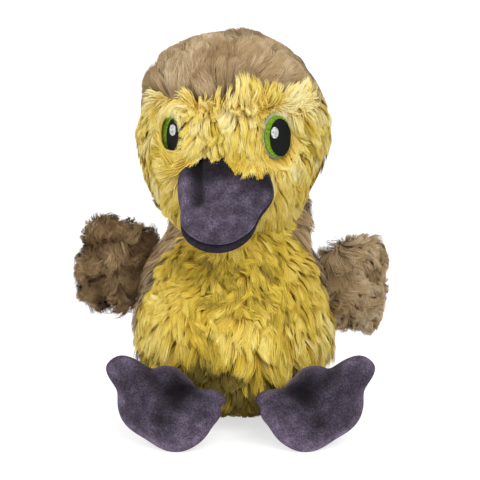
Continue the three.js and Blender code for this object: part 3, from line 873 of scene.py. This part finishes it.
def grow(name, panel, density, region, flow_of, length_of, pale_of, coat, seed, high_of,
         width=0.36, swirl=(30.0, 25.0), halved=True):
    """Pile of some strands per square millimetre on the region of a panel's form. The swirl is how
    far apart the places are where the pile turns, and how far it turns, in degrees. It is one
    piece, or two where it is halved: with x under nothing, and the rest."""
    draw = np.random.default_rng(seed)
    corners, height, matrix = panel["corners"], panel["height"], panel["matrix"]
    corners = corners[region(corners.reshape(-1, 3)).reshape(-1, 3).any(1)]
    roots = scattered(corners, int(area_of(corners).sum() * density), draw)
    roots = roots[region(roots)]
    area = len(roots) / density
    normals = slope(height, roots)
    flow = unit(flow_of(roots))
    flow = unit(flow - normals * (flow * normals).sum(1)[:, None])
    flow = turned(flow, normals, waves(roots, swirl[0], seed) * swirl[1])
    path, pale = combed(roots, normals, flow, length_of(roots), coat, area, draw)
    path = settled(path, height, high_of(roots))
    placed = over_bill(to_frame(matrix, path.reshape(-1, 3)).reshape(path.shape))
    placed, keep = cleared(placed, draw)
    pale = pale + pale_of(roots)
    world_normals = normals @ np.array(matrix.to_3x3()).T
    left = roots[:, 0] < 0
    pieces = [(f"{name}_left", left), (f"{name}_right", ~left)] if halved else [(name, True)]
    for piece_name, half in pieces:
        mine = keep & half
        strands(piece_name, placed[mine], world_normals[mine], width, pale[mine], panel, draw)


def kept_faces(bm, test):
    """A copy of the bmesh with only the faces whose middle passes the test."""
    part = bm.copy()
    middles = np.array([face.calc_center_median()[:] for face in part.faces])
    passed = test(middles)
    bmesh.ops.delete(part, geom=[f for f, ok in zip(part.faces, passed) if not ok], context="FACES")
    return part


def backed(name, panel, bm, test):
    """The knitted cloth of a panel, under its pile."""
    piece = finished(kept_faces(bm, test), f"{name}_backing", panel["body"],
                     FUR[panel["hue"]][1], [panel["node"]],
                     panel["matrix"])


def face_high(points):
    """How high the face's pile stands: low round the eyes, but for the inner rim of the left one,
    and free to hang from the jaw."""
    x, y, z = points.T
    inner = 0.35 + 0.45 * smooth(-36, -29, x)
    left = inner + (1 - inner) * smooth(1.1, 1.9, by_patch(points, -1))
    right = 0.35 + 0.65 * smooth(1.1, 1.9, by_patch(points, 1))
    high = 9.5 + 1.6 * waves(points, 15, 63) + 6 * smooth(-20, -38, z) * smooth(46, 34, np.abs(x))
    high += 3.5 * smooth(12, 18, z) * smooth(40, 30, np.abs(x)) - 4.5 * smooth(22, 45, x) * (z < -5)
    return high * np.minimum(left, right)


LEFT_EYE = np.array([-HEAD["side"] * math.sin(EYE_AROUND), 0.0, EYE_ABOVE])


def by_left_rim(points):
    """The strip of the bridge along the left eye, whose pile leans in over the embroidery."""
    away = by_patch(points, -1)
    return (away > 1.0) & (away < 1.55) & (points[:, 0] > LEFT_EYE[0])


def rim_flow(points):
    toward = (LEFT_EYE - points) * np.array([1, 0, 1])
    return unit(toward) + np.array([0, 0, -0.25])


def crown_high(points):
    x, y, z = points.T
    aside = 4.0 * smooth(12, 38, x) - 3.0 * smooth(-18, -42, x)
    nape = 2.5 * smooth(-5, -22, z) * (x < 0)
    return 6.3 + 1.4 * waves(points, 17, 64) - aside * smooth(5, 25, z) - nape


def outside_body(points):
    return body_height(to_frame(HEAD_FRAME, points)) > ROOT_CLEARANCE


def outside_head(points):
    return head_height(to_frame(HEAD_FRAME.inverted(), points)) > ROOT_CLEARANCE


head_bm = form_bmesh(head_height, np.zeros(3))
# What a panel's pile and its backing share: the node, the body it rides on, its colour, its
# frame, and the form under the pile.
FACE = dict(node="face_panel", body="head", hue="yellow", matrix=HEAD_FRAME,
            corners=triangles_of(head_bm), height=head_height)
CROWN = dict(FACE, node="crown_panel", hue="brown")


def face_pale(points):
    x, y, z = points.T
    middle = 1 - smooth(12, 30, np.abs(x))
    pale = 0.54 - 0.02 * smooth(0, 30, np.abs(x)) - 0.05 * middle + 0.16 * smooth(6, 16, z)
    return pale + 0.08 * waves(points, 24, 5)


def crown_pale(points):
    x, y, z = points.T
    by_brow = smooth(36, 22, z) * smooth(0, -15, y) * smooth(34, 12, np.abs(x))
    return 0.54 - 0.18 * by_brow + 0.09 * waves(points, 26, 6)


def off_face(points):
    return ~in_face(points)


def long_pile(points):
    """The same length everywhere."""
    return 18.0


# Under about this height on the head the pile is the cheeks' own, longer and hanging.
JOWL = -14.0
for name, low, coat, seed, swirl in (("face", False, FACE_COAT, 42, (24.0, 8.0)),
                                     ("cheek", True, CHEEK_COAT, 12, (26.0, 12.0))):
    grow(f"{name}_pile", FACE, 5.0,
         lambda p: in_face(p) & outside_body(p) & ((p[:, 2] + 3 * waves(p, 12, 15) < JOWL) == low),
         face_flow, face_length, face_pale, coat, seed, face_high, 0.34, swirl)
grow("eye_rim_pile", FACE, 5.0, lambda p: in_face(p) & by_left_rim(p), rim_flow, lambda p: 8.5,
     face_pale, RIM_COAT, 15, face_high, 0.34, (24.0, 4.0), halved=False)
# Behind this plane the crown's pile is the nape's, thinner and of wider strands.
NAPE = 8.0
grow("crown_pile", CROWN, 3.6, lambda p: off_face(p) & (p[:, 1] < NAPE) & outside_body(p),
     crown_flow, long_pile, crown_pale, CROWN_COAT, 13, crown_high, swirl=(34.0, 14.0))
grow("nape_pile", CROWN, 1.6, lambda p: off_face(p) & (p[:, 1] >= NAPE) & outside_body(p),
     crown_flow, long_pile, crown_pale, CROWN_COAT, 14, crown_high, 0.5, (34.0, 14.0))
backed("face", FACE, head_bm, lambda p: in_face(p) & outside_body(p))
backed("crown", CROWN, head_bm, lambda p: off_face(p) & outside_body(p))
head_bm.free()


# Body

def side_seam(z):
    return np.interp(z, SIDE_SEAM_HEIGHTS, SIDE_SEAM_BEHIND)


def in_tummy(points):
    """Whether a point is yellow: the brown comes a little further round at the shoulder of the
    side with x under nothing."""
    x, y, z = points.T
    return y < side_seam(z) - 9 * smooth(-25, -42, x) * smooth(34, 52, z)


def off_tummy(points):
    return ~in_tummy(points)


body_bm = form_bmesh(body_height, BODY_MIDDLE)
for vertex in body_bm.verts:
    vertex.co.z = max(vertex.co.z, SEAT_HEIGHT)
TUMMY = dict(node="tummy_panel", body="torso", hue="yellow", matrix=Matrix.Identity(4),
             corners=triangles_of(body_bm), height=body_height)
BACK = dict(TUMMY, node="back_panel", hue="brown")


def standing(points):
    """Roots on the underside are pressed flat under the toy, so none are drawn there."""
    return (points[:, 2] > SEAT_PILE_HEIGHT) & outside_head(points)


def tummy_flow(points):
    x, y, z = points.T
    out = x / 55.0
    chest = smooth(70, 105, z)
    return np.stack([out * (0.45 + 0.9 * chest), 0 * x - 0.15, -1 + 0.45 * chest], axis=1)


def back_flow(points):
    x, y, z = points.T
    by_seam = smooth(16, 2, y - side_seam(z))
    by_wing = smooth(24, 12, np.abs(y - WING_BEHIND)) * smooth(45, 60, z) * smooth(108, 92, z)
    return np.stack([np.sign(x) * (0.1 + 1.6 * by_wing), 0.15 + 0.4 * by_seam, -1 + 0 * x], axis=1)


def above_base(points):
    """Height, uneven like the edge where the long locks of the low tummy end."""
    return points[:, 2] + 0.12 * points[:, 0] - 4.5 * waves(points, 20, 71)


def tummy_pale(points):
    x, y, z = points.T
    chest = smooth(60, 80, z) * smooth(120, 100, z)
    # Painted shade: the low tummy, near the floor between the feet, is made darker.
    low = smooth(49, 36, above_base(points))
    side = smooth(15, 45, np.abs(x))
    return 0.365 - 0.085 * chest - 0.31 * low + 0.12 * side + 0.06 * waves(points, 26, 8)


def body_high(points):
    x, y, z = points.T
    thick = 3 * smooth(68, 55, z) * smooth(52, 36, np.abs(x))
    return 8.5 + 1.4 * waves(points, 16, 65) + thick - 5.5 * smooth(47, 38, above_base(points))


def tummy_length(points):
    """Long locks hang over the low tummy, where the pile is short and is painted dark as shade."""
    return 13.5 + 7 * smooth(80, 55, points[:, 2]) - 11.5 * smooth(51, 40, above_base(points))


# Over about this height the tummy's pile is short and swirled, and under it long and hanging.
CHEST_LEVEL = 62.0
for name, chest, density, coat, seed, swirl in (
        ("chest", True, 4.2, CHEST_COAT, 21, (20.0, 26.0)),
        ("belly", False, 3.3, BELLY_COAT, 22, (34.0, 8.0))):
    grow(f"{name}_pile", TUMMY, density,
         lambda p: in_tummy(p) & standing(p)
         & ((p[:, 2] + 5 * waves(p, 16, 16) > CHEST_LEVEL) == chest),
         tummy_flow, tummy_length, tummy_pale, coat, seed, body_high, swirl=swirl)
grow("back_pile", BACK, 1.6, lambda p: off_tummy(p) & standing(p), back_flow, long_pile,
     lambda p: 0.42 + 0.08 * waves(p, 30, 9), LONG_COAT, 23,
     lambda p: 10.0 + 2.0 * waves(p, 18, 66), 0.5, (34.0, 18.0))
backed("tummy", TUMMY, body_bm, in_tummy)
backed("back", BACK, body_bm, off_tummy)
body_bm.free()


# Wings: the same pile, shorter and curled

def wing_high(points, side):
    x, y, z = points.T
    out = x * side["sign"]
    hanging = 4.0 * smooth(-12, -24, y) - 2.5 * smooth(12, 24, y) * smooth(-8, 0, out)
    hanging += 9.0 * smooth(-7, -16, out)
    return 8.5 + 2.0 * waves(points, 12, 67) + hanging - side["tip_close"] * smooth(6, 18, out)


def wing_flow(points):
    x, y, z = points.T
    return np.stack([0.2 + 0 * x, -0.6 + 0 * y, 0.2 * np.sign(z)], axis=1)


for side in SIDES:
    sign, matrix = side["sign"], wing_frame(side)
    outline = WING_OUTLINE if sign > 0 else mirrored(WING_OUTLINE)
    wing_bm = pad_bmesh(outline, WING_HALF_DEPTH, WING_HALF_DEPTH, 64, 32, WING_BACKING_DEPTH)

    def wing_height(points):
        inner = 1 + WING_BACKING_DEPTH / WING_RIM_REACH
        far = outline[1](points[:, 0], points[:, 1]) * inner
        full = WING_HALF_DEPTH - WING_BACKING_DEPTH
        level = np.sqrt(far ** (2 / EDGE_ROUNDNESS) + (points[:, 2] / full) ** 2) + 1e-9
        size = 1 / np.sqrt((unit(points)[:, :2] ** 2).sum(1) / WING_MIDDLE_SCALE ** 2
                           + unit(points)[:, 2] ** 2 / full ** 2)
        return (level - 1) * size * 0.8

    for half, part, seed, density in (("front", 1, 31, 4.6), ("back", -1, 33, 2.8)):
        def in_half(points):
            off_body = body_height(to_frame(matrix, points)) > -1.0
            return (points[:, 2] * part > 0) & off_body

        name = f"wing_{side['side']}_{half}"
        panel = dict(node=name, body=f"wing_{side['side']}", hue="brown", matrix=matrix,
                     corners=split_faces(wing_bm), height=wing_height)
        grow(f"{name}_pile", panel, density, in_half, wing_flow,
             lambda p: 9.5 + 8.0 * smooth(-7, -16, p[:, 0] * sign),
             lambda p: WING_PAINTED_LIGHT[sign] + 0.12 * waves(p, 14, 17), WING_COAT, seed + sign,
             lambda p: wing_high(p, side), 0.34, (16.0, 60.0), halved=False)
        backed(name, panel, wing_bm, in_half)
    wing_bm.free()


# Velboa: a plush so short that it reads as a soft sheen. Each sewn piece carries painted light and
# shade, darker in hollows and creases and paler on the rounds, which its material multiplies into
# its colour.

def velboa_material():
    material, tree, surface = new_material("short_pile_velboa", {
        "Roughness": 0.75, "Sheen Weight": 0.2, "Sheen Roughness": 0.4,
        "Sheen Tint": colour("#cfc4d8"), "Specular IOR Level": 0.1})
    tone = ramp(tree, noise(tree, 6, 3.0, 0.6),
                [(0.3, "#352d39"), (0.5, "#413946"), (0.7, "#4f4756")])
    # Each piece's painted light and shade: darker in hollows and creases, paler on the rounds.
    painted_shading = add(tree, "ShaderNodeAttribute", attribute_name="painted_shading")
    fleck = noise(tree, 0.9, 2.0, 0.75)
    flecks = add(tree, "ShaderNodeMapRange", {"Value": fleck, "From Min": 0.35, "From Max": 0.7,
                 "To Min": 0.5, "To Max": 1.6})
    shade = add(tree, "ShaderNodeMath", {0: painted_shading.outputs["Fac"], 1: flecks.outputs["Result"]},
                operation="MULTIPLY")
    mixed = add(tree, "ShaderNodeVectorMath", {0: tone}, operation="SCALE")
    tree.links.new(shade.outputs["Value"], mixed.inputs["Scale"])
    tree.links.new(mixed.outputs["Vector"], surface.inputs["Base Color"])
    bumped(tree, surface, fleck, 0.3)
    return material


velboa = velboa_material()


# Valleys between the toes: the way each runs, in degrees, where it starts, and how deep it is.
WEB_VALLEYS = ((122, 10, 2.6), (30, 7, 2.4))
WEB_VALLEY_WIDTH = 3.6
# How far from a pad's middle its rim lies, for the depth of the groove along the seam.
PAD_REACH = 26.0


def foot_shape(places, far, rise):
    """Valleys in the web between the toes, and a hollow in the sole under the middle toe. The
    painted light that goes with them is shade, darker in the valleys, in the hollow, in a spot under
    it and in the seam's groove, and highlight, paler towards the rim and the heel, with a little
    random tone.
    """
    x, y = places[:, 0].copy(), places[:, 1].copy()
    light = 0.55 * smooth(0.3, 0.95, far) * smooth(6, -14, y) + 0.25 * smooth(0.75, 0.95, far)
    for way, start, deep in WEB_VALLEYS:
        cos_way, sin_way = math.cos(math.radians(way)), math.sin(math.radians(way))
        along = x * cos_way + y * sin_way
        across = y * cos_way - x * sin_way
        valley = bell(across, 0, WEB_VALLEY_WIDTH) * smooth(start - 8, start + 4, along)
        places[:, 2] -= deep * valley * np.sign(rise) * smooth(0, 0.35, np.abs(rise))
        light -= 0.8 * valley * (rise > 0)
    places[:, 2] -= 5.5 * bell(x, 5, 9.5) * bell(y, 5, 8.5) * np.clip(rise, 0, 1) ** 0.5
    light -= 1.3 * bell(x, 6, 8.0) * bell(y, 7, 9.0) * (rise > 0)
    light -= 0.5 * bell(x, -2, 8.0) * bell(y, -10, 4.5) * (rise > 0)
    ripple = waves(np.column_stack([x, y, 0 * x]), 13, 41) * 0.45 + waves(places, 6, 42) * 0.15
    places[:, 2] += ripple * rise
    light += 0.22 * waves(places, 10, 43)
    groove = bell(rise, 0, 0.05)
    places[:, :2] *= (1 - 0.5 * groove / PAD_REACH)[:, None]
    return places, np.exp(1.3 * light - 0.9 * groove)


def on_floor(bm, matrix, floor):
    """Presses what would reach under the floor flat against it."""
    back = matrix.inverted()
    for vertex in bm.verts:
        place = matrix @ vertex.co
        if place.z < floor:
            place.z = floor
            vertex.co = back @ place
    return bm


def halves(body, bm, matrix, nodes, test=all_of):
    """The two velboa panels of a pad, split along its seam, where they pass the test."""
    for node, part in nodes:
        shell = kept_faces(bm, lambda p: (p[:, 2] * part > 0) & test(p))
        finished(shell, f"{node}_velboa", body, velboa, [node], matrix)
    bm.free()


fibre = cloth_material("hollow_fibre_filling", [(0.3, "#d9d7cf"), (0.7, "#f6f5f0")], 4, 0.95, 0.4,
                       1.2, 0.8)
PAD_FILLING_INSET = VELBOA_DEPTH + 0.8
HEEL_HEIGHT = 0.05


def filled(name, body, bm, node, matrix):
    finished(bm, name, body, fibre, [node], matrix)


for side in SIDES:
    foot, sign = f"foot_{side['side']}", side["sign"]
    outline, matrix = foot_outline_of(side), foot_frame(side)

    def shape(places, far, rise):
        places[:, 0] *= -sign
        places, painted_shading = foot_shape(places, far, rise)
        places[:, 0] *= -sign
        return places, painted_shading

    cover, inner = (pad_bmesh(outline, SOLE_DEPTH, FOOT_BACK_DEPTH, around, rows, inset, shape,
                              SOLE_MIDDLE)
                    for around, rows, inset in ((192, 80, 0.0), (64, 32, PAD_FILLING_INSET)))
    halves(foot, on_floor(cover, matrix, HEEL_HEIGHT), matrix,
           ((f"{foot}_sole", 1), (f"{foot}_top", -1)))
    filled(f"{foot}_fibre", foot, on_floor(inner, matrix, PAD_FILLING_INSET),
           f"{foot}_filling", matrix)


# Bill

def bill_shape(places, far, rise):
    """A crease down the upper side, a lower side that stands out past the seam at the tip, and a
    shallow groove along the seam. Painted shade darkens the root under the fringe, the crease, the
    groove and the whole lower side, and a painted highlight lightens a lobe at one side, the rim at
    the tip and the part towards the tip."""
    x, y = places[:, 0].copy(), places[:, 1].copy()
    upper, lower = np.clip(rise, 0, 1), np.clip(-rise, 0, 1)
    rim = smooth(0.5, 1.0, far)
    places[:, 1] *= bill_spread(x, y)
    places[:, 1] += bill_bump(x) * rim * (y > 0)
    tip = smooth(-4, 26, x)
    places[:, 0] -= 3.6 * tip * np.where(rise >= 0, 1, 1 - smooth(0.0, 0.22, lower)) * far ** 2
    across = y + 9.5 - 0.1 * x
    crease = bell(across, 0, np.where(across > 0, 1.8, 4.6))
    crease *= smooth(14, 6, x) * smooth(-34, -24, x)
    places[:, 2] -= 2.8 * crease * upper
    places[:, 2] += rise * (waves(np.column_stack([x, y, 0 * x]), 15, 51) * 0.5)
    groove = bell(rise, 0, 0.06)
    places[:, :2] *= (1 - 0.7 * groove / PAD_REACH)[:, None]
    light = -1.75 * smooth(-2, -13, x + 3 * np.sin(y / 4.0)) - 1.2 * crease
    light += 0.55 * bell(y, -19, 3.5) + 0.2 * waves(places, 9, 53)
    light += 0.7 * bell(rise, 0.12, 0.06) * tip + 0.25 * smooth(4, 20, x)
    light = np.where(rise > 0, light, -0.9)
    return places, np.exp(light - 0.8 * groove)


def off_head(points):
    return head_height(to_frame(HEAD_FRAME.inverted() @ BILL_FRAME, points)) > 0


cover, inner = (pad_bmesh(BILL_OUTLINE, BILL_UPPER_DEPTH, BILL_LOWER_DEPTH, around, rows, inset,
                          bill_shape)
                for around, rows, inset in ((128, 64, 0.0), (64, 32, PAD_FILLING_INSET)))
halves("head", cover, BILL_FRAME, (("bill_upper", 1), ("bill_lower", -1)), off_head)
filled("bill_fibre", "head", kept_faces(inner, off_head), "bill_filling", BILL_FRAME)


# Eyes, embroidered in satin stitch

def thread_material(name, dark, light, rough=0.5):
    """Rayon embroidery thread: satin stitch lies in close parallel rows with a soft gloss."""
    material, tree, surface = new_material(name, {"Roughness": rough, "Specular IOR Level": 0.2})
    tree.links.new(ramp(tree, noise(tree, 1.2), [(0.3, dark), (0.7, light)]),
                   surface.inputs["Base Color"])
    return material


# How far apart the rows of thread lie, and how much they stand out.
THREAD_ROW, THREAD_RELIEF = 0.55, 0.12


def stitched(name, half_width, half_height, depth, seat, aside, above, frame_matrix,
             material, node_name):
    """An oval of rows of thread, domed, with its back on the layer under it."""
    bm = bmesh.new()
    bmesh.ops.create_grid(bm, x_segments=24, y_segments=96, size=1.0)
    for vertex in bm.verts:
        a, b = vertex.co.x, vertex.co.y
        x = a * math.sqrt(1 - b * b / 2)
        z = b * math.sqrt(1 - a * a / 2)
        dome = math.sqrt(max(0.0, 1 - x * x - z * z))
        row = THREAD_RELIEF * abs(math.sin(math.pi * b * half_height / THREAD_ROW))
        vertex.co = (x * half_width + aside, -seat - depth * (0.55 + 0.45 * dome) - row,
                     z * half_height + above)
    rim = [edge for edge in bm.edges if edge.is_boundary]
    wall = bmesh.ops.extrude_edge_only(bm, edges=rim)["geom"]
    for vertex in (v for v in wall if isinstance(v, bmesh.types.BMVert)):
        vertex.co.y = -seat
    bmesh.ops.recalc_face_normals(bm, faces=bm.faces[:])
    finished(bm, name, "head", material, [node_name], frame_matrix)


outline_thread = thread_material("eye_outline_thread", "#8f9a7c", "#b4bda0")
iris_thread = thread_material("lime_thread", "#4f7412", "#86b02a")
pupil_thread = thread_material("black_thread", "#010101", "#08080a")
glint_thread = thread_material("white_thread", "#8f9492", "#e9ece9", 0.6)
# The layers of an eye, from the cloth outwards: its colour, the node, the slot, the thread, half
# its width and height, its thickness, how far over the seat it starts and how high its middle is.
EYE_LAYERS = (
    ("outline", "patch", "eye_outline_thread", outline_thread, EYE_HALF_WIDTH, EYE_HALF_HEIGHT,
     1.4, 0.0, 0.0),
    ("lime", "iris", "iris_thread", iris_thread, 7.7, 11.2, 0.8, 1.7, 0.0),
    ("black", "pupil", "pupil_thread", pupil_thread, 6.2, 10.0, 0.8, 2.8, -0.5),
    ("white", "glint", "glint_thread", glint_thread, 2.1, 3.0, 0.8, 3.9, 3.0),
)
# How far aside the middle of each layer lies, which makes the toy look a little to one side.
EYE_ASIDES = {-1: (0.0, 0.0, 2.6, 1.7), 1: (0.0, 0.0, 1.2, -2.6)}
for side in SIDES:
    name, sign = side["side"], side["sign"]
    for layer, aside in zip(EYE_LAYERS, EYE_ASIDES[sign]):
        hue, node, slot_name, thread, half_width, half_height, depth, over, above = layer
        stitched(f"eye_{name}_{hue}", half_width, half_height, depth, EYE_SEAT + over, aside,
                 above, eye_frame(sign), thread, f"eye_{name}_{node}")


# What is inside keeps its solid and gets its own material.
blown_plastic = cloth_material("blown_polyethylene", [(0.3, "#e0dccd"), (0.7, "#e9e6da")], 9, 0.5,
                               0.0, 1.5, 0.05)
reed_plastic = cloth_material("moulded_reed_plastic", [(0.3, "#ececea"), (0.7, "#fafafa")], 9,
                              0.35, 0.0, 1.5, 0.03)
for node_name, node_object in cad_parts.items():
    if node_name.endswith("_filling"):
        inside = fibre
    elif node_name == "squeaker_bulb":
        inside = blown_plastic
    elif node_name == "squeaker_reed":
        inside = reed_plastic
    else:
        continue
    node_object.material_slots[0].material = inside


# Floor, light and camera

floor_mesh = bpy.data.meshes.new("floor")
floor_bm = bmesh.new()
bmesh.ops.create_grid(floor_bm, x_segments=1, y_segments=1, size=6.0)
floor_bm.to_mesh(floor_mesh)
floor_bm.free()
floor = in_scene("floor", floor_mesh)
floor_material, floor_tree, floor_surface = new_material("white_studio_paper", {
    "Base Color": (0.6, 0.6, 0.6, 1), "Roughness": 0.9, "Emission Color": (0.64, 0.64, 0.64, 1)})
seen = add(floor_tree, "ShaderNodeLightPath")
floor_tree.links.new(seen.outputs["Is Camera Ray"], floor_surface.inputs["Emission Strength"])
floor_mesh.materials.append(floor_material)

world = bpy.data.worlds.new("studio")
world.use_nodes = True
bpy.context.scene.world = world
world_tree = world.node_tree
world_tree.nodes.clear()
lights = add(world_tree, "ShaderNodeLightPath")
straight = add(world_tree, "ShaderNodeMath", {0: lights.outputs["Is Camera Ray"],
               1: lights.outputs["Is Glossy Ray"]}, operation="MAXIMUM")
through = add(world_tree, "ShaderNodeMath", {0: straight.outputs["Value"],
              1: lights.outputs["Is Transmission Ray"]}, operation="MAXIMUM")
strength = add(world_tree, "ShaderNodeMapRange", {"Value": through.outputs["Value"],
               "To Min": 0.66, "To Max": 1.0})
background = add(world_tree, "ShaderNodeBackground", {"Color": (1, 1, 1, 1),
                 "Strength": strength.outputs["Result"]})
add(world_tree, "ShaderNodeOutputWorld", {"Surface": background.outputs["Background"]})


# What the lamps and the camera look at, in metres.
TOY_MIDDLE = Vector((0.0, -0.012, 0.099))


def aimed(thing, place):
    """Puts a lamp or the camera at a place, looking at the toy."""
    thing.location = place
    thing.rotation_euler = (TOY_MIDDLE - Vector(place)).to_track_quat("-Z", "Y").to_euler()
    return thing


def lamp(name, place, size, power):
    data = bpy.data.lights.new(name, "AREA")
    data.shape = "DISK"
    data.size = size
    data.energy = power
    aimed(in_scene(name, data), place)


lamp("key", (0.45, -0.9, 1.0), 1.1, 11.5)
lamp("fill", (-0.9, -0.6, 0.5), 0.8, 5.0)

# The lens is long and the camera stands a little above the toy, as the photograph was taken.
camera_data = bpy.data.cameras.new("camera")
camera_data.lens = 115.9
camera_data.sensor_width = 36.0
camera_data.shift_x = 0.0135
bpy.context.scene.camera = aimed(in_scene("camera", camera_data), (0.0, -0.833, 0.319))
bpy.context.scene.view_settings.view_transform = "Standard"
